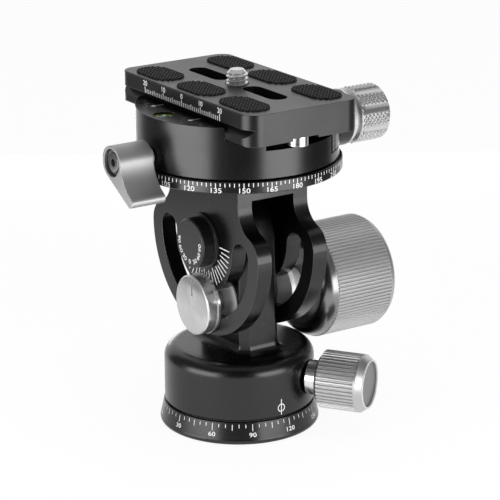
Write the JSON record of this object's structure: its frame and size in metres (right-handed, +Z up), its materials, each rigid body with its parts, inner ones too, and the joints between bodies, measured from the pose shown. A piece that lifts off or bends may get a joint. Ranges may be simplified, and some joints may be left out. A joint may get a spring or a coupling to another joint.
{
  "type": "monopod head",
  "caption": "Compact tilting monopod head: flared scale base, lower pan with stem, slotted fork with tilt scale, turning dovetail clamp and a quick release plate with rubber pads.",
  "frame": {"origin": "middle of the base underside, at the mouth of the threaded hole", "axes": "+Z up along the base thread, +X towards the large tilt knob along the tilt axis, -Y towards the near end of the plate"},
  "size_m": [0.0928, 0.073, 0.1077],
  "materials": {
    "black_anodised": "satin black anodised aluminium",
    "plate_anodised": "fine blasted dark grey anodised aluminium",
    "silver_anodised": "turned satin silver aluminium",
    "grey_anodised": "satin titanium grey aluminium",
    "steel": "turned stainless steel",
    "brass": "turned brass",
    "white_nylon": "slippery nylon",
    "rubber": "ribbed black rubber",
    "level_liquid": "clear vial with yellow green liquid"
  },
  "bodies": {
    "base": {"base_ring": "black_anodised", "pan_spigot": "steel", "base_screws": "steel"},
    "pan": {"stem_body": "black_anodised", "pan_washer": "white_nylon", "pan_retainer": "steel", "retainer_screws": "steel", "pan_brake_shoe": "brass", "pivot_bush_left": "brass", "pivot_bush_right": "brass", "friction_washers": "white_nylon", "thrust_bush_left": "silver_anodised", "thrust_bush_right": "silver_anodised", "clamp_bolt": "steel", "pointer_disc": "silver_anodised", "knob_collar": "silver_anodised"},
    "pan_lock": {"pan_lock_screw": "steel", "pan_lock_knob": "silver_anodised", "pan_knob_cap": "grey_anodised"},
    "tilt_lock": {"tilt_knob": "grey_anodised", "tilt_knob_insert": "brass", "tilt_knob_cap": "grey_anodised"},
    "fork": {"tilt_yoke": "black_anodised", "pivot_shaft": "steel", "pivot_nut": "steel", "pivot_cap_left": "black_anodised", "pivot_cap_right": "black_anodised", "top_dial": "black_anodised", "dial_screws": "steel", "top_spigot": "steel", "spigot_screw": "steel"},
    "clamp": {"clamp_body": "black_anodised", "top_pan_washer": "white_nylon", "top_retainer": "steel", "top_retainer_screws": "steel", "top_brake_shoe": "brass", "level_cup": "silver_anodised", "level_vial": "level_liquid", "jaw_guide_pins": "steel"},
    "lever": {"lever_stud": "silver_anodised", "lock_lever": "silver_anodised", "lever_screw": "steel"},
    "jaw": {"moving_jaw": "black_anodised", "jaw_springs": "steel"},
    "jaw_knob": {"jaw_screw": "steel", "clamp_washer": "silver_anodised", "clamp_knob": "silver_anodised"},
    "plate": {"quick_release_plate": "plate_anodised", "plate_pads": "rubber", "stop_screws": "steel", "screw_clip": "steel"},
    "camera_bolt": {"camera_screw": "steel"}
  },
  "joints": [
    {"name": "base_pan", "type": "hinge", "parent": "base", "child": "pan", "pos_m": [0, 0, 0.0071], "axis": [0, 0, 1], "continuous": true},
    {"name": "pan_lock_turn", "type": "hinge", "parent": "pan", "child": "pan_lock", "pos_m": [0.01893, -0.02703, 0.01575], "axis": [0.5736, -0.8192, 0], "range_deg": [-180, 180]},
    {"name": "tilt", "type": "hinge", "parent": "pan", "child": "fork", "pos_m": [0, 0, 0.0578], "axis": [1, 0, 0], "range_deg": [-85, 85]},
    {"name": "tilt_lock_turn", "type": "hinge", "parent": "pan", "child": "tilt_lock", "pos_m": [0.033, 0, 0.0386], "axis": [1, 0, 0], "range_deg": [-180, 180]},
    {"name": "top_pan", "type": "hinge", "parent": "fork", "child": "clamp", "pos_m": [0, 0, 0.08264], "axis": [0, 0, 1], "continuous": true},
    {"name": "lever_swing", "type": "hinge", "parent": "clamp", "child": "lever", "pos_m": [-0.0375, 0, 0.08624], "axis": [1, 0, 0], "range_deg": [-45, 45]},
    {"name": "jaw_slide", "type": "slide", "parent": "clamp", "child": "jaw", "axis": [1, 0, 0], "range_m": [0, 0.004]},
    {"name": "jaw_knob_turn", "type": "hinge", "parent": "jaw", "child": "jaw_knob", "pos_m": [0.044, 0, 0.08804], "axis": [1, 0, 0], "range_deg": [0, 1802]},
    {"name": "plate_slide", "type": "slide", "parent": "clamp", "child": "plate", "axis": [0, 1, 0], "range_m": [-0.02, 0.02]},
    {"name": "camera_screw_turn", "type": "hinge", "parent": "plate", "child": "camera_bolt", "pos_m": [0, 0, 0.10342], "axis": [0, 0, 1], "continuous": true}
  ],
  "couplings": [
    {"joint": "jaw_knob_turn", "follows": "jaw_slide", "rad_per_m": 7854}
  ]
}
